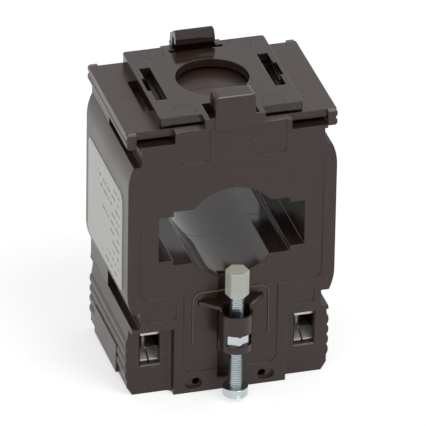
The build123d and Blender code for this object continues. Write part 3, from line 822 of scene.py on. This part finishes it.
class TRANSFORMER_OT_label(TransformerOperator, bpy.types.Operator):
    """Finishes the label on the left-hand side"""

    bl_idname = "transformer.label"
    bl_label = "Label"

    def execute(self, context):
        colours = context.scene.transformer_colours
        paint(label_film("label_film", colours.film, colours.ink), "rating_label")
        return {"FINISHED"}


class TRANSFORMER_OT_ring(TransformerOperator, bpy.types.Operator):
    """Finishes the ring core, its winding and the leads"""

    bl_idname = "transformer.ring"
    bl_label = "Core and winding"

    def execute(self, context):
        colours = context.scene.transformer_colours
        paint(coated_core("core_coat", colours.core), "ring_core")
        paint(wound_copper("copper_winding", colours.copper), "secondary_winding",
              "secondary_lead_left", "secondary_lead_right")
        return {"FINISHED"}


class TRANSFORMER_OT_clamp_screw(TransformerOperator, bpy.types.Operator):
    """Models the bar-locking screw with its thread and slotted head"""

    bl_idname = "transformer.clamp_screw"
    bl_label = "Clamp screw"

    def execute(self, context):
        sizes = context.scene.transformer_sizes
        zinc = plated_metal("zinc_plating", context.scene.transformer_colours.zinc, 0.18, 9000)
        screw = slotted_screw("locking_screw", "clamp_screw", sizes.clamp_thread,
                              sizes.clamp_pitch, sizes.clamp_head_height,
                              sizes.clamp_slot_width, sizes.clamp_slot_depth, sizes.head_round)
        dress(screw, "clamp_screw", zinc, "clamp_screw")
        return {"FINISHED"}


class TRANSFORMER_OT_clamp_nut(TransformerOperator, bpy.types.Operator):
    """Models the chamfered nut in the bracket"""

    bl_idname = "transformer.clamp_nut"
    bl_label = "Clamp nut"

    def execute(self, context):
        sizes = context.scene.transformer_sizes
        low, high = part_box("clamp_nut")
        centre = ((low.x + high.x) / 2, (low.y + high.y) / 2)
        corner = (high.x - low.x) / sqrt(3)
        nut = disc("locking_nut", centre, low.z, high.z, corner, vertices=6)
        turned = disc("turned", centre, low.z, high.z, corner, vertices=96)
        soften(turned, sizes.nut_chamfer, segments=1)
        cut(nut, turned, "INTERSECT")
        bore = sizes.clamp_thread / 2 + sizes.running_gap
        cut(nut, disc("bore", centre, low.z - MM, high.z + MM, bore))
        soften(nut, sizes.nut_round, segments=2)
        dress(nut, "case", bpy.data.materials["zinc_plating"], "clamp_nut")
        return {"FINISHED"}


class TRANSFORMER_OT_clamp_tip(TransformerOperator, bpy.types.Operator):
    """Models the hexagonal nylon tip"""

    bl_idname = "transformer.clamp_tip"
    bl_label = "Clamp tip"

    def execute(self, context):
        sizes = context.scene.transformer_sizes
        low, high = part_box("clamp_tip")
        centre = ((low.x + high.x) / 2, (low.y + high.y) / 2)
        corner = (high.x - low.x) / 2 / cos(sizes.tip_turn)
        tip = disc("nylon_tip", centre, low.z, high.z, corner, vertices=6,
                   turn=sizes.tip_turn - tau / 12)
        soften(tip, sizes.tip_round)
        bore = sizes.clamp_thread / 2 + sizes.running_gap
        cut(tip, disc("bore", centre, low.z - MM, low.z + sizes.tip_grip, bore))
        colours = context.scene.transformer_colours
        nylon = natural_nylon("natural_nylon", colours.nylon, colours.nylon_top_shade)
        dress(tip, "clamp_tip", nylon, "clamp_tip")
        return {"FINISHED"}


class TRANSFORMER_OT_terminals(TransformerOperator, bpy.types.Operator):
    """Models the saddles and screws of both terminals and finishes their bars"""

    bl_idname = "transformer.terminals"
    bl_label = "Terminals"

    def execute(self, context):
        sizes = context.scene.transformer_sizes
        colours = context.scene.transformer_colours
        nickel = plated_metal("nickel_plating", colours.nickel, 0.34, 6000)
        rough_nickel = plated_metal("saddle_plating", colours.saddle, 0.52, 2500)
        first = "terminal_screw_" + SIDES[0]
        modelled = None
        for side in SIDES:
            name, node = "wire_screw_" + side, "terminal_screw_" + side
            if modelled is None:
                screw = self.screw(sizes, name, node)
                modelled = screw.data.copy()
            else:
                screw = placed(name, modelled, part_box(node)[0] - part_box(first)[0])
            dress(screw, node, nickel, node)
            paint(nickel, "terminal_bar_" + side)
            self.saddle(sizes, side, rough_nickel)
        return {"FINISHED"}

    def screw(self, sizes, name, node):
        """A terminal screw, head down."""
        return slotted_screw(name, node, sizes.terminal_thread, sizes.terminal_pitch,
                             sizes.terminal_head_height, sizes.terminal_slot_width,
                             sizes.terminal_slot_depth, sizes.head_round)

    def saddle(self, sizes, side, metal):
        """A stamped saddle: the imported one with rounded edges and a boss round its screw."""
        node = "terminal_saddle_" + side
        low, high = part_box("terminal_screw_" + side)
        centre = ((low.x + high.x) / 2, (low.y + high.y) / 2)
        saddle = packed_copy("wire_saddle_" + side, node)
        soften(saddle, sizes.sheet_round, segments=2)
        ramp_lip, sheet = 0.6 * MM, 1.2 * MM
        plate_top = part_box(node)[0].z + ramp_lip + sheet
        sunk, boss_round = 0.1 * MM, 0.25 * MM
        boss = disc("boss", centre, plate_top - sunk, plate_top + sizes.boss_height,
                    sizes.boss_radius)
        soften(boss, boss_round)
        bore = sizes.terminal_thread / 2 + sizes.running_gap
        cut(boss, disc("bore", centre, plate_top - MM, plate_top + 2 * MM, bore))
        join(saddle, boss)
        dress(saddle, node, metal, node)


class TRANSFORMER_PT_panel(bpy.types.Panel):
    """Lists the operators in the sidebar"""

    bl_label = "Current transformer"
    bl_idname = "TRANSFORMER_PT_panel"
    bl_space_type = "VIEW_3D"
    bl_region_type = "UI"
    bl_category = "Transformer"

    def draw(self, context):
        for operator in OPERATORS:
            self.layout.operator(operator.bl_idname)


OPERATORS = (
    TRANSFORMER_OT_stage,
    TRANSFORMER_OT_case,
    TRANSFORMER_OT_clip,
    TRANSFORMER_OT_front_frame,
    TRANSFORMER_OT_label,
    TRANSFORMER_OT_ring,
    TRANSFORMER_OT_clamp_screw,
    TRANSFORMER_OT_clamp_nut,
    TRANSFORMER_OT_clamp_tip,
    TRANSFORMER_OT_terminals,
)
CLASSES = (TransformerSizes, TransformerColours, *OPERATORS, TRANSFORMER_PT_panel)


def register():
    for cls in CLASSES:
        bpy.utils.register_class(cls)
    bpy.types.Scene.transformer_sizes = bpy.props.PointerProperty(type=TransformerSizes)
    bpy.types.Scene.transformer_colours = bpy.props.PointerProperty(type=TransformerColours)


def unregister():
    del bpy.types.Scene.transformer_colours
    del bpy.types.Scene.transformer_sizes
    for cls in reversed(CLASSES):
        bpy.utils.unregister_class(cls)


def main():
    """Runs every operator in order."""
    register()
    bpy.ops.transformer.stage()
    bpy.ops.transformer.case()
    bpy.ops.transformer.clip()
    bpy.ops.transformer.front_frame()
    bpy.ops.transformer.label()
    bpy.ops.transformer.ring()
    bpy.ops.transformer.clamp_screw()
    bpy.ops.transformer.clamp_nut()
    bpy.ops.transformer.clamp_tip()
    bpy.ops.transformer.terminals()


if __name__ == "__main__":
    main()
